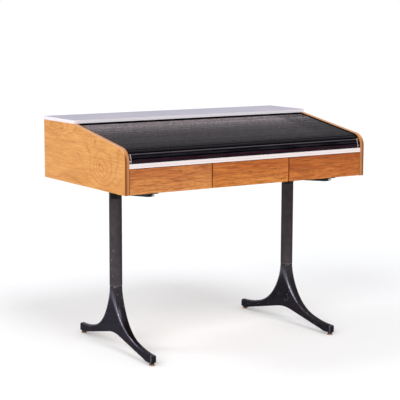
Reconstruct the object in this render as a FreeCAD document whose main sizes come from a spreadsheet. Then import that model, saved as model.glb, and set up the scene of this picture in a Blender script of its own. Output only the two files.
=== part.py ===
import FreeCAD, Part
import math
import os

import Sketcher
from FreeCAD import Vector

# Tambour desk: a wooden case on two cast T-legs, closed by a sliding tambour of thin slats.
# Origin on the floor under the middle of the case, +X to the right, +Y to the back, +Z up, in mm.

SIZES = {
    # the whole desk
    "desk_width": 1067,
    "desk_depth": 610,
    "desk_height": 858,
    "case_height": 233,
    # side panels
    "panel_thickness": 18,
    "corner_radius": 47,
    "corner_rise": 8.6,
    "band_thickness": 1,
    # fixed shelf on top
    "shelf_thickness": 13,
    "shelf_depth": 236,
    "shelf_corner": 5,
    "laminate_thickness": 1,
    # writing board and the low rail behind it
    "writing_drop": 125,
    "writing_thickness": 16,
    "writing_depth": 445,
    "false_back_thickness": 10,
    "false_back_height": 46,
    # back and bottom of the case
    "back_thickness": 16,
    "bottom_thickness": 12,
    "bottom_setback": 22,
    # three drawers side by side
    "divider_thickness": 12,
    "divider_setback": 3,
    "front_thickness": 18,
    "front_recess": 1,
    "front_side_gap": 2.6,
    "front_top_gap": 2,
    "front_lift": 1,
    "pull_slot_width": 8,
    "pull_slot_depth": 8,
    "pull_slot_wall": 6,
    "drawer_depth": 476,
    "drawer_side_height": 62,
    "drawer_side_thickness": 10,
    "drawer_bottom_thickness": 4,
    "drawer_bottom_rise": 4,
    "drawer_side_clearance": 1.5,
    "runner_width": 14,
    "runner_height": 4,
    "runner_clearance": 0.3,
    "stop_length": 40,
    "stop_depth": 14,
    "stop_height": 24,
    "stop_clearance": 0.4,
    # tambour
    "slat_pitch": 11,
    "slat_width": 10.4,
    "slat_thickness": 6,
    "slat_shoulder": 4,
    "canvas_thickness": 1,
    "canvas_margin": 25,
    "canvas_clearance": 0.1,
    "slat_recess": 4,
    "slat_end_clearance": 0.6,
    "shelf_clearance": 5,
    "back_clearance": 3,
    "lead_slats": 2,
    "turn_link_slats": 2,
    "hidden_slats": 4,
    "guide_pin_diameter": 5,
    "guide_pin_reach": 4.5,
    "groove_width": 5.6,
    "groove_depth": 6,
    # lift rail
    "rail_foot_gap": 1.5,
    "rail_end_gap": 10,
    "rail_lip_height": 5,
    "rail_finger_depth": 8,
    "rail_finger_height": 14,
    "rail_cap_thickness": 1.5,
    "rail_pin_diameter": 4,
    # legs
    "leg_inset": 135.5,
    "toe_out": 2.1,
    "column_diameter": 47.6,
    "column_wall": 2.5,
    "seam_height": 242,
    "spigot_length": 20,
    "spigot_clearance": 0.1,
    # base casting
    "neck_sweep_radius": 190,
    "neck_sweep_angle": 71,
    "neck_side_radius": 1409,
    "web_half_width": 12,
    "web_height": 60,
    "toe_setback": 20,
    "toe_top": 38,
    "toe_bottom": 10.5,
    "toe_length": 40,
    "arch_height": 62,
    "arch_crown_radius": 190,
    "arch_crown_half": 45,
    "arch_foot": 15,
    "arch_foot_run": 14,
    # upper casting
    "hub_depth": 55,
    "arm_width": 20,
    "arm_setback": 17,
    "arm_lug_length": 40,
    "arm_lug_tip": 4,
    "arm_lug_root": 12,
    "arm_end_depth": 20,
    "arm_middle": 125,
    "arm_middle_depth": 30,
    "arm_root": 34,
    "arm_root_depth": 36,
    "lug_screw_inset": 20,
    "arm_screw_reach": 150,
    "arm_counterbore_diameter": 13,
    "arm_seat_thickness": 10,
    "screw_diameter": 5,
    "screw_clearance": 0.2,
    "screw_head_diameter": 11,
    "screw_head_height": 3,
    "screw_bite": 10,
    # tie rod through each column
    "rod_diameter": 12,
    "rod_clearance": 0.2,
    "rod_bite": 90,
    "rod_end_gap": 2,
    "rod_seat_diameter": 24,
    "rod_seat_depth": 13,
    "rod_nut_across": 19,
    "rod_nut_height": 10,
    "rod_tail": 1,
    # levelling glides
    "glide_inset": 11,
    "glide_diameter": 22,
    "glide_height": 5,
    "glide_chamfer": 1,
    "glide_stem_diameter": 8,
    "glide_stem_length": 22,
    "glide_stem_clearance": 0.15,
    "glide_nut_across": 16,
    "glide_nut_height": 5,
    "glide_nut_gap": 0.25,
}

DRAWERS = ("left", "middle", "right")
SIDES = {"left": -1, "right": 1}
ENDS = {"front": -1, "rear": 1}

doc = FreeCAD.newDocument("tambour_desk")
sheet = doc.addObject("Spreadsheet::Sheet", "Sizes")
for row, (alias, value) in enumerate(SIZES.items(), start=1):
    sheet.set(f"A{row}", alias.replace("_", " "))
    sheet.set(f"B{row}", str(value))
    sheet.setAlias(f"B{row}", alias)
doc.recompute()


def size(alias):
    """The number in the sheet's cell of that name."""
    return float(sheet.get(alias))


# Lines that many pieces share, as expressions of the sheet.
HALF_WIDTH = "Sizes.desk_width / 2"
INNER = "(Sizes.desk_width / 2 - Sizes.panel_thickness)"
BAY = "(2 * (Sizes.desk_width / 2 - Sizes.panel_thickness) / 3)"
FRONT = "(-Sizes.desk_depth / 2)"
REAR = "(Sizes.desk_depth / 2)"
BACK_INNER = "(Sizes.desk_depth / 2 - Sizes.back_thickness)"
SHELF_UNDER = "(Sizes.desk_height - Sizes.shelf_thickness)"
SHELF_FRONT = "(Sizes.desk_depth / 2 - Sizes.shelf_depth)"
CASE_BOTTOM = "(Sizes.desk_height - Sizes.case_height)"
WRITING_TOP = "(Sizes.desk_height - Sizes.writing_drop)"
WRITING_UNDER = f"({WRITING_TOP} - Sizes.writing_thickness)"
CASE_FLOOR = f"({CASE_BOTTOM} + Sizes.bottom_thickness)"
FRONT_BACK = f"({FRONT} + Sizes.front_recess + Sizes.front_thickness)"
DRAWER_FOOT = f"({CASE_FLOOR} + Sizes.runner_height + Sizes.runner_clearance)"
SIDE = "Sizes.drawer_side_thickness"
LEG_X = "(Sizes.desk_width / 2 - Sizes.leg_inset)"
# The case's slope touches the front corner's arc and meets the shelf's lower front edge.
CORNER_RUN = f"({SHELF_FRONT} - {FRONT} - Sizes.corner_radius)"
CORNER_DROP = f"({SHELF_UNDER} - {WRITING_TOP} - Sizes.corner_rise)"
SLOPE = (f"(atan2({CORNER_DROP}; {CORNER_RUN})"
         f" - asin(Sizes.corner_radius / hypot({CORNER_RUN}; {CORNER_DROP})))")

nodes = []


def keep(piece, label):
    """Names a finished piece after its node and lists it for writing."""
    piece.Label = label
    nodes.append(piece)
    return piece


def place(piece, at):
    """Moves a piece by three expressions."""
    for axis, expression in zip("xyz", at):
        piece.setExpression(f"Placement.Base.{axis}", expression)
    return piece


def board(name, low, extent):
    """A rectangular board with its low corner and its three lengths as expressions."""
    piece = doc.addObject("Part::Box", name)
    for side, expression in zip(("Length", "Width", "Height"), extent):
        piece.setExpression(side, expression)
    return place(piece, low)


def rod(name, radius, length, foot):
    """An upright cylinder, its radius, length and foot as expressions."""
    piece = doc.addObject("Part::Cylinder", name)
    piece.setExpression("Radius", radius)
    piece.setExpression("Height", length)
    return place(piece, foot)


def cut(name, base, tool):
    """Base without tool."""
    piece = doc.addObject("Part::Cut", name)
    piece.Base = base
    piece.Tool = tool
    return piece


def fused(name, pieces):
    """Several shapes joined into one solid."""
    piece = doc.addObject("Part::MultiFuse", name)
    piece.Shapes = pieces
    return piece


def group(name, pieces):
    """Several separate solids that share one node."""
    piece = doc.addObject("Part::Compound", name)
    piece.Links = pieces
    return piece


def solid(name, shape):
    """A piece whose shape is worked out from the sheet by the functions below."""
    piece = doc.addObject("Part::Feature", name)
    piece.Shape = shape
    return piece


def extrusion(name, plane, corners, length, midplane=False):
    """A body padded from a closed outline of straight lines; corners are pairs of expressions."""
    body = doc.addObject("PartDesign::Body", name)
    sketch = body.newObject("Sketcher::SketchObject", name + "_outline")
    support = next(f for f in body.Origin.OriginFeatures if f.Role == plane)
    sketch.AttachmentSupport = [(support, "")]
    sketch.MapMode = "FlatFace"
    count = len(corners)
    ring = [Vector(math.cos(i * 2 * math.pi / count), math.sin(i * 2 * math.pi / count), 0) * 100
            for i in range(count)]
    for i in range(count):
        sketch.addGeometry(Part.LineSegment(ring[i], ring[(i + 1) % count]), False)
    for i in range(count):
        sketch.addConstraint(Sketcher.Constraint("Coincident", i, 2, (i + 1) % count, 1))
    for i, (across, up) in enumerate(corners):
        for kind, start, expression in (("DistanceX", ring[i].x, across), ("DistanceY", ring[i].y, up)):
            number = sketch.addConstraint(Sketcher.Constraint(kind, -1, 1, i, 1, start))
            sketch.setExpression(f"Constraints[{number}]", expression)
    pad = body.newObject("PartDesign::Pad", name + "_pad")
    pad.Profile = sketch
    pad.Midplane = midplane
    pad.setExpression("Length", length)
    doc.recompute()
    return body


def fillet(body, radius, *points):
    """Rounds the body's edges that pass nearest to the points."""
    base = body.Tip
    names = []
    for point in points:
        edges = base.Shape.Edges
        near = min(range(len(edges)), key=lambda i: edges[i].distToShape(Part.Vertex(point))[0])
        names.append(f"Edge{near + 1}")
    rounded = body.newObject("PartDesign::Fillet", body.Name + "_fillet")
    rounded.Base = (base, names)
    rounded.setExpression("Radius", radius)
    doc.recompute()
    return body


# ---- Tambour path -----------------------------------------------------------------------------
# The canvas runs in the plane (y, z) along this line, on its inner face: up the front around the
# corner, up the slope, level under the shelf, and down behind the drawers. Slats stand outwards.

pitch = size("slat_pitch")
curtain = size("slat_thickness") + size("canvas_thickness")
case_bottom = size("desk_height") - size("case_height")
writing_top = size("desk_height") - size("writing_drop")
front_y = -size("desk_depth") / 2
shelf_under = size("desk_height") - size("shelf_thickness")
shelf_front = size("desk_depth") / 2 - size("shelf_depth")
inner_x = size("desk_width") / 2 - size("panel_thickness")
corner_y = front_y + size("corner_radius")
corner_z = writing_top + size("corner_rise")
corner_run = shelf_front - corner_y
corner_drop = shelf_under - corner_z
slope = (math.atan2(corner_drop, corner_run)
         - math.asin(size("corner_radius") / math.hypot(corner_run, corner_drop)))
bend_radius = size("corner_radius") - size("slat_recess") - curtain


def on_corner(angle, radius=bend_radius):
    """Point (y, z) on a circle about the front corner's centre, angle in radians from +Y."""
    return corner_y + radius * math.cos(angle), corner_z + radius * math.sin(angle)


slope_start = on_corner(math.pi / 2 + slope)
level_limit = shelf_under - size("shelf_clearance") - curtain
slope_slats = int((level_limit - slope_start[1]) / (pitch * math.sin(slope)))
level_start = slope_start[0] + slope_slats * pitch * math.cos(slope)
level_z = slope_start[1] + slope_slats * pitch * math.sin(slope)

# Fully open, the curtain turns down behind the drawers over links of a few slats each.
TURN_LINKS = ("slats_turn_upper", "slats_turn_lower")
link_slats = int(size("turn_link_slats"))
turn_step = math.pi / 2 / (len(TURN_LINKS) + 1)
turn_reach = sum(link_slats * pitch * math.cos(i * turn_step) for i in range(1, len(TURN_LINKS) + 1))
back_limit = -front_y - size("back_thickness") - size("back_clearance") - curtain
level_slats = int((back_limit - level_start - turn_reach) / pitch)
drop_y = level_start + level_slats * pitch + turn_reach

# Slat groups, each one rigid, as (name, first slat, number of slats), counted from the lead slat.
lead_slats = int(size("lead_slats"))
first_of_turn = lead_slats + level_slats
first_of_drop = first_of_turn + len(TURN_LINKS) * link_slats
curtain_slats = slope_slats + int(size("hidden_slats"))
slat_groups = [("lead_slat", 0, 1), ("second_slat", 1, lead_slats - 1),
               ("slats_front_run", lead_slats, level_slats)]
slat_groups += [(name, first_of_turn + i * link_slats, link_slats) for i, name in enumerate(TURN_LINKS)]
slat_groups += [("slats_rear_run", first_of_drop, slope_slats - first_of_drop),
                ("slats_tail", slope_slats, curtain_slats - slope_slats)]


def slat_place(index):
    """Hinge point (y, z) and angle of a slat when the tambour is closed."""
    on_slope = min(index, slope_slats)
    y = slope_start[0] + (on_slope * math.cos(slope) + index - on_slope) * pitch
    z = slope_start[1] + on_slope * math.sin(slope) * pitch
    return (y, z), slope if index < slope_slats else 0.0


def along(origin, angle, run, rise):
    """Point at run along the canvas and rise outwards from it, in the plane of the side panels."""
    return Vector(
        0,
        origin[0] + run * math.cos(angle) - rise * math.sin(angle),
        origin[1] + run * math.sin(angle) + rise * math.cos(angle),
    )


def prism(points, half_length, arcs=()):
    """A closed outline at x = 0, spread both ways; arcs are (index of start, point on the arc)."""
    bows = dict(arcs)
    edges = []
    for i, start in enumerate(points):
        end = points[(i + 1) % len(points)]
        edges.append(Part.Arc(start, bows[i], end).toShape() if i in bows
                     else Part.LineSegment(start, end).toShape())
    face = Part.Face(Part.Wire(edges))
    face.translate(Vector(-half_length, 0, 0))
    return face.extrude(Vector(2 * half_length, 0, 0))


def slat(origin, angle):
    """One slat: flat back, short shoulders and a crowned face."""
    near = (pitch - size("slat_width")) / 2
    far = near + size("slat_width")
    low = size("canvas_thickness")
    shoulder = low + size("slat_shoulder")
    points = [along(origin, angle, near, low), along(origin, angle, far, low),
              along(origin, angle, far, shoulder), along(origin, angle, near, shoulder)]
    crown = along(origin, angle, pitch / 2, curtain)
    return prism(points, inner_x - size("slat_end_clearance"), [(2, crown)])


def canvas(origin, angle, slats):
    """The strip of canvas that one group of slats is glued to."""
    near = size("canvas_clearance")
    far = slats * pitch - near
    high = size("canvas_thickness")
    points = [along(origin, angle, near, 0), along(origin, angle, far, 0),
              along(origin, angle, far, high), along(origin, angle, near, high)]
    return prism(points, inner_x - size("canvas_margin"))


for name, first, count in slat_groups:
    pieces = [slat(*slat_place(first + i)) for i in range(count)]
    origin, angle = slat_place(first)
    pieces.append(canvas(origin, angle, count))
    keep(solid(name, Part.makeCompound(pieces)), name)

# Steel pins in the lead slat's ends run in the side panels' grooves.
lead_origin, lead_angle = slat_place(0)
pin_centre = along(lead_origin, lead_angle, pitch / 2, curtain - size("slat_thickness") / 2)
pins = []
for side in SIDES.values():
    start = side * (inner_x - size("slat_end_clearance"))
    reach = size("slat_end_clearance") + size("guide_pin_reach")
    foot = Vector(start, pin_centre.y, pin_centre.z)
    pins.append(Part.makeCylinder(size("guide_pin_diameter") / 2, reach, foot, Vector(side, 0, 0)))
keep(solid("guide_pins", Part.makeCompound(pins)), "guide_pins")

# ---- Nose of the tambour: two slats around the corner, then the lift rail --------------------

chord = 2 * math.asin(pitch / 2 / bend_radius)
corner_top = math.pi / 2 + slope
for step, name in enumerate(("nose_slat_upper", "nose_slat_lower"), start=1):
    origin = on_corner(corner_top + step * chord)
    angle = corner_top + (step - 0.5) * chord - math.pi / 2
    keep(solid(name, Part.makeCompound([slat(origin, angle), canvas(origin, angle, 1)])), name)

rail_top = on_corner(corner_top + 2 * chord)
rail_foot = writing_top + size("rail_foot_gap")
rail_radius = size("corner_radius") - size("slat_recess")
rail_face = corner_y - rail_radius
rail_back = corner_y - bend_radius
finger_back = rail_face + size("rail_finger_depth")


def on_rail(z, radius=rail_radius):
    """Point of the rail's round face at height z."""
    return Vector(0, corner_y - math.sqrt(radius**2 - max(z - corner_z, 0) ** 2), z)


lip_top = rail_top[1]
lip_foot = lip_top - size("rail_lip_height")
finger_foot = lip_foot - size("rail_finger_height")
finger_corner = (lip_foot - finger_foot) / 4
rail_outline = [
    Vector(0, rail_top[0], lip_top),
    Vector(0, rail_back, rail_foot),
    Vector(0, rail_face, rail_foot),
    Vector(0, on_rail(finger_foot).y, finger_foot),
    Vector(0, finger_back, finger_foot + finger_corner),
    Vector(0, finger_back, lip_foot - finger_corner),
    on_rail(lip_foot),
    on_rail(lip_top),
]
rail_half = inner_x - size("rail_end_gap")
keep(solid("lift_rail", prism(rail_outline, rail_half)), "lift_rail")

# Metal caps close the rail's ends, each with a pin that reaches towards the side panel.
cap_outline = [Vector(0, rail_top[0], lip_top), Vector(0, rail_back, rail_foot),
               Vector(0, rail_face, rail_foot), Vector(0, rail_face, corner_z), on_rail(lip_top)]
cap_bow = on_rail((corner_z + lip_top) / 2)
caps = []
for side in SIDES.values():
    half = size("rail_cap_thickness") / 2
    cap = prism(cap_outline, half, [(3, cap_bow)])
    cap.translate(Vector(side * (rail_half + half), 0, 0))
    start = side * (rail_half + half)
    foot = Vector(start, (rail_back + rail_face) / 2, corner_z)
    reach = size("rail_end_gap") - half - size("slat_end_clearance")
    pin = Part.makeCylinder(size("rail_pin_diameter") / 2, reach, foot, Vector(side, 0, 0))
    caps.append(cap.fuse(pin))
keep(solid("lift_rail_caps", Part.makeCompound(caps)), "lift_rail_caps")

# ---- Side panels ------------------------------------------------------------------------------
# Each panel is a veneered board with its front edge, round corner and slope covered by a band.
# Its inner face has the tambour's groove.


def panel_outline(inset):
    """Corners (y, z) of a side panel, its front and sloping edges set in by an expression."""
    slope_foot = (f"{SHELF_UNDER} - ({SHELF_FRONT} - {FRONT}) * tan({SLOPE})"
                  f" + {inset} * tan({SLOPE}) - {inset} / cos({SLOPE})")
    return [
        (REAR, CASE_BOTTOM),
        (REAR, SHELF_UNDER),
        (f"{SHELF_FRONT} + {inset} / sin({SLOPE})", SHELF_UNDER),
        (f"{FRONT} + {inset}", slope_foot),
        (f"{FRONT} + {inset}", CASE_BOTTOM),
    ]


def panel_body(name, inset, inset_size):
    """A side panel with its front top corner rounded, standing on x = 0 to x = its thickness."""
    body = extrusion(name, "YZ_Plane", panel_outline(inset), "Sizes.panel_thickness")
    corner_edge = Vector(size("panel_thickness") / 2, front_y + inset_size,
                         corner_z + size("corner_radius"))
    return fillet(body, f"Sizes.corner_radius - {inset}", corner_edge)


def groove(side):
    """The tambour's groove as a solid, cut into the inner face of the panel on that side."""
    rise = curtain - size("slat_thickness") / 2
    radius = bend_radius + rise
    start = Vector(0, corner_y - radius, rail_foot)
    corner_low = Vector(0, corner_y - radius, corner_z)
    corner_mid = Vector(0, *on_corner(math.pi - (math.pi / 2 - slope) / 2, radius))
    corner_high = Vector(0, *on_corner(corner_top, radius))
    level = level_z + rise
    meet_run = (level - corner_high.z) / math.tan(slope)
    meet = Vector(0, corner_high.y + meet_run, level)
    rear = drop_y + rise
    rear_radius = turn_reach + rise
    rear_start = Vector(0, rear - rear_radius, level)
    rear_mid = Vector(0, rear - rear_radius + rear_radius * math.sin(math.pi / 4),
                      level - rear_radius + rear_radius * math.cos(math.pi / 4))
    rear_end = Vector(0, rear, level - rear_radius)
    drop_slats = curtain_slats - first_of_drop
    end = Vector(0, rear, level - rear_radius - (drop_slats + 1) * pitch)
    line = Part.Wire([
        Part.LineSegment(start, corner_low).toShape(),
        Part.Arc(corner_low, corner_mid, corner_high).toShape(),
        Part.LineSegment(corner_high, meet).toShape(),
        Part.LineSegment(meet, rear_start).toShape(),
        Part.Arc(rear_start, rear_mid, rear_end).toShape(),
        Part.LineSegment(rear_end, end).toShape(),
    ])
    ribbon = Part.Face(line.makeOffset2D(size("groove_width") / 2))
    ribbon.translate(Vector(side * inner_x, 0, 0))
    return ribbon.extrude(Vector(side * size("groove_depth"), 0, 0))


for word, side in SIDES.items():
    stand = (f"-{HALF_WIDTH}" if side < 0 else INNER, "0", "0")
    core = place(panel_body(f"panel_core_{word}", "Sizes.band_thickness", size("band_thickness")), stand)
    blank = place(panel_body(f"panel_blank_{word}", "0", 0), stand)
    tool = solid(f"groove_{word}", groove(side))
    keep(cut(f"side_panel_{word}", core, tool), f"side_panel_{word}")
    keep(cut(f"panel_edge_{word}", blank, core), f"panel_edge_{word}")

# ---- Shelf ------------------------------------------------------------------------------------
# A laminated board across both panels, banded on its front and both ends.


def shelf_layer(name, inset, thickness, foot, radius):
    """A shelf outline set in from the front and ends, with rounded front corners."""
    half = f"({HALF_WIDTH} - {inset})"
    corners = [(f"-{half}", f"{SHELF_FRONT} + {inset}"), (half, f"{SHELF_FRONT} + {inset}"),
               (half, REAR), (f"-{half}", REAR)]
    body = extrusion(name, "XY_Plane", corners, thickness)
    tip = body.Tip.Shape.BoundBox
    fillet(body, radius, Vector(tip.XMin, tip.YMin, tip.ZMax / 2),
           Vector(tip.XMax, tip.YMin, tip.ZMax / 2))
    return place(body, ("0", "0", foot))


core_thickness = "(Sizes.shelf_thickness - Sizes.laminate_thickness)"
band_radius = "Sizes.shelf_corner - Sizes.band_thickness"
shelf_core = shelf_layer("shelf_board", "Sizes.band_thickness", core_thickness, SHELF_UNDER, band_radius)
shelf_blank = shelf_layer("shelf_blank", "0", core_thickness, SHELF_UNDER, "Sizes.shelf_corner")
shelf_skin = shelf_layer("shelf_laminate", "0", "Sizes.laminate_thickness",
                         f"{SHELF_UNDER} + {core_thickness}", "Sizes.shelf_corner")
keep(shelf_core, "shelf_board")
keep(shelf_skin, "shelf_laminate")
keep(cut("shelf_edge_band", shelf_blank, shelf_core), "shelf_edge_band")

# ---- Writing board, false back, back panel and bottom board -----------------------------------

INNER_WIDTH = f"2 * {INNER}"
keep(board("writing_board", (f"-{INNER}", f"{FRONT} + Sizes.band_thickness", WRITING_UNDER),
           (INNER_WIDTH, "Sizes.writing_depth + Sizes.false_back_thickness - Sizes.band_thickness",
            "Sizes.writing_thickness - Sizes.laminate_thickness")), "writing_board")
keep(board("writing_laminate",
           (f"-{INNER}", FRONT, f"{WRITING_TOP} - Sizes.laminate_thickness"),
           (INNER_WIDTH, "Sizes.writing_depth", "Sizes.laminate_thickness")), "writing_laminate")
keep(board("writing_edge_band", (f"-{INNER}", FRONT, WRITING_UNDER),
           (INNER_WIDTH, "Sizes.band_thickness",
            "Sizes.writing_thickness - Sizes.laminate_thickness")), "writing_edge_band")
keep(board("false_back",
           (f"-{INNER}", f"{FRONT} + Sizes.writing_depth",
            f"{WRITING_TOP} - Sizes.laminate_thickness"),
           (INNER_WIDTH, "Sizes.false_back_thickness",
            "Sizes.false_back_height + Sizes.laminate_thickness")), "false_back")
keep(board("back_panel", (f"-{INNER}", BACK_INNER, CASE_BOTTOM),
           (INNER_WIDTH, "Sizes.back_thickness", f"{SHELF_UNDER} - {CASE_BOTTOM}")), "back_panel")

leg_x = size("desk_width") / 2 - size("leg_inset")
arm_reach = size("desk_depth") / 2 - size("arm_setback")
lug_screw_reach = arm_reach - size("lug_screw_inset")
screw_reaches = [end * reach for end in ENDS.values()
                 for reach in (lug_screw_reach, size("arm_screw_reach"))]
pilots = [Part.makeCylinder(size("screw_diameter") / 2, size("screw_bite"),
                            Vector(side * leg_x, reach, case_bottom))
          for side in SIDES.values() for reach in screw_reaches]
bottom_blank = board("bottom_blank", (f"-{INNER}", f"{FRONT} + Sizes.bottom_setback", CASE_BOTTOM),
                     (INNER_WIDTH, f"{BACK_INNER} - {FRONT} - Sizes.bottom_setback",
                      "Sizes.bottom_thickness"))
keep(cut("bottom_board", bottom_blank, solid("pilot_holes", Part.makeCompound(pilots))), "bottom_board")

# ---- Drawers and what carries them ------------------------------------------------------------
# Each drawer slides on two runners between the dividers, up to a stop block behind it.

divider_front = f"{FRONT_BACK} + Sizes.divider_setback"
dividers = [board(f"divider_{word}",
                  (f"{side} * {BAY} / 2 - Sizes.divider_thickness / 2", divider_front, CASE_FLOOR),
                  ("Sizes.divider_thickness",
                   "Sizes.drawer_depth + Sizes.stop_depth - Sizes.divider_setback",
                   f"{WRITING_UNDER} - {CASE_FLOOR}"))
            for word, side in SIDES.items()]
keep(group("drawer_dividers", dividers), "drawer_dividers")

runners = []
stops = []
for number, word in enumerate(DRAWERS):
    middle = f"({number - 1} * {BAY})"
    wall = {True: "Sizes.divider_thickness / 2", False: "0"}
    low = f"({middle} - {BAY} / 2 + {wall[number > 0]} + Sizes.drawer_side_clearance)"
    high = f"({middle} + {BAY} / 2 - {wall[number < 2]} - Sizes.drawer_side_clearance)"

    blank = board(f"front_blank_{word}",
                  (f"{middle} - {BAY} / 2 + Sizes.front_side_gap", f"{FRONT} + Sizes.front_recess",
                   f"{CASE_BOTTOM} + Sizes.front_lift"),
                  (f"{BAY} - 2 * Sizes.front_side_gap", "Sizes.front_thickness",
                   f"{WRITING_UNDER} - Sizes.front_top_gap - {CASE_BOTTOM} - Sizes.front_lift"))
    slot = board(f"pull_slot_{word}",
                 (f"{middle} - {BAY} / 2", f"{FRONT_BACK} - Sizes.pull_slot_wall - Sizes.pull_slot_width",
                  CASE_BOTTOM),
                 (BAY, "Sizes.pull_slot_width", "Sizes.front_lift + Sizes.pull_slot_depth"))
    keep(cut(f"drawer_front_{word}", blank, slot), f"drawer_front_{word}")

    side_length = "Sizes.drawer_depth"
    walls = [
        board(f"drawer_{word}_side_a", (low, FRONT_BACK, DRAWER_FOOT),
              (SIDE, side_length, "Sizes.drawer_side_height")),
        board(f"drawer_{word}_side_b", (f"{high} - {SIDE}", FRONT_BACK, DRAWER_FOOT),
              (SIDE, side_length, "Sizes.drawer_side_height")),
        board(f"drawer_{word}_back",
              (f"{low} + {SIDE}", f"{FRONT_BACK} + {side_length} - {SIDE}", DRAWER_FOOT),
              (f"{high} - {low} - 2 * {SIDE}", SIDE, "Sizes.drawer_side_height")),
    ]
    keep(group(f"drawer_box_{word}", walls), f"drawer_box_{word}")
    keep(board(f"drawer_bottom_{word}",
               (f"{low} + {SIDE}", FRONT_BACK, f"{DRAWER_FOOT} + Sizes.drawer_bottom_rise"),
               (f"{high} - {low} - 2 * {SIDE}", f"{side_length} - {SIDE}",
                "Sizes.drawer_bottom_thickness")), f"drawer_bottom_{word}")

    for end, start in (("a", low), ("b", f"{high} - Sizes.runner_width")):
        runners.append(board(f"runner_{word}_{end}", (start, divider_front, CASE_FLOOR),
                             ("Sizes.runner_width", "Sizes.drawer_depth - Sizes.divider_setback",
                              "Sizes.runner_height")))
    stops.append(board(f"stop_{word}",
                       (f"({low} + {high} - Sizes.stop_length) / 2",
                        f"{FRONT_BACK} + Sizes.drawer_depth + Sizes.stop_clearance", CASE_FLOOR),
                       ("Sizes.stop_length", "Sizes.stop_depth", "Sizes.stop_height")))
keep(group("drawer_runners", runners), "drawer_runners")
keep(group("drawer_stops", stops), "drawer_stops")

# ---- Legs -------------------------------------------------------------------------------------
# A tube between two iron castings, clamped by a tie rod. The upper casting's arms are screwed to
# the case; the base casting's toes stand on levelling glides.

column_radius = size("column_diameter") / 2
tube_inner = column_radius - size("column_wall")
spigot_radius = tube_inner - size("spigot_clearance")
bore_radius = size("rod_diameter") / 2 + size("rod_clearance")
column_top = case_bottom - size("hub_depth")
glide_reach = size("desk_depth") / 2 - size("toe_setback") - size("glide_inset")
turn = {"left": -size("toe_out"), "right": size("toe_out")}


def hexagon(across, height, foot, bore):
    """A six-sided nut with a plain bore."""
    radius = across / math.sqrt(3)
    corners = [foot + Vector(radius * math.cos(i * math.pi / 3), radius * math.sin(i * math.pi / 3), 0)
               for i in range(6)]
    nut = Part.Face(Part.makePolygon(corners + corners[:1])).extrude(Vector(0, 0, height))
    return nut.cut(Part.makeCylinder(bore, height, foot))


def side_curve():
    """Half of the base casting seen from the side: neck sweep, arm, toe and arch, in (y, z)."""
    turned = math.radians(size("neck_sweep_angle"))
    sweep = size("neck_sweep_radius")

    def on_sweep(angle):
        return Vector(0, column_radius + sweep * (1 - math.cos(angle)),
                      size("seam_height") - sweep * math.sin(angle))

    reach = size("desk_depth") / 2 - size("toe_setback")
    shoulder = on_sweep(turned)
    toe_corner = Vector(0, reach, size("toe_top"))
    run = toe_corner - shoulder
    sag = run.Length / 8 * (math.pi / 2 - turned)
    arm_middle = (shoulder + toe_corner) * 0.5 - Vector(0, 0, sag)
    foot_y = reach - size("toe_length")
    crown_half = size("arch_crown_half")
    crown_sag = size("arch_crown_radius") - math.sqrt(size("arch_crown_radius") ** 2 - crown_half**2)
    quarter = crown_half / 2
    quarter_sag = size("arch_crown_radius") - math.sqrt(size("arch_crown_radius") ** 2 - quarter**2)
    crown = Vector(0, 0, size("arch_height"))
    crown_mid = Vector(0, quarter, size("arch_height") - quarter_sag)
    crown_end = Vector(0, crown_half, size("arch_height") - crown_sag)
    arch_foot = Vector(0, foot_y - size("arch_foot_run"), size("arch_foot"))
    toe_heel = Vector(0, foot_y, size("toe_bottom"))
    toe_end = Vector(0, reach, size("toe_bottom"))
    seam = Vector(0, column_radius, size("seam_height"))
    seam_axis = Vector(0, 0, size("seam_height"))
    return Part.Wire([
        Part.LineSegment(seam_axis, seam).toShape(),
        Part.Arc(seam, on_sweep(turned / 2), shoulder).toShape(),
        Part.Arc(shoulder, arm_middle, toe_corner).toShape(),
        Part.LineSegment(toe_corner, toe_end).toShape(),
        Part.LineSegment(toe_end, toe_heel).toShape(),
        Part.LineSegment(toe_heel, arch_foot).toShape(),
        Part.LineSegment(arch_foot, crown_end).toShape(),
        Part.Arc(crown_end, crown_mid, crown).toShape(),
        Part.LineSegment(crown, seam_axis).toShape(),
    ])


def side_walls():
    """The casting's width seen from the front: as wide as the column above, a thin web below."""
    web = size("web_half_width")
    drop = (size("seam_height") - size("web_height")) / 2
    bow = size("neck_side_radius") - math.sqrt(size("neck_side_radius") ** 2 - drop**2)
    edges = []
    for side in SIDES.values():
        top = Vector(side * column_radius, 0, size("seam_height"))
        middle = Vector(side * (column_radius - bow), 0, size("seam_height") - drop)
        knee = Vector(side * web, 0, size("web_height"))
        foot = Vector(side * web, 0, 0)
        edges.append(Part.Arc(top, middle, knee).toShape())
        edges.append(Part.LineSegment(knee, foot).toShape())
    edges.append(Part.LineSegment(Vector(-web, 0, 0), Vector(web, 0, 0)).toShape())
    edges.append(Part.LineSegment(Vector(-column_radius, 0, size("seam_height")),
                                  Vector(column_radius, 0, size("seam_height"))).toShape())
    face = Part.Face(Part.Wire(Part.__sortEdges__(edges)))
    face.translate(Vector(0, -size("desk_depth"), 0))
    return face.extrude(Vector(0, 2 * size("desk_depth"), 0))


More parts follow.
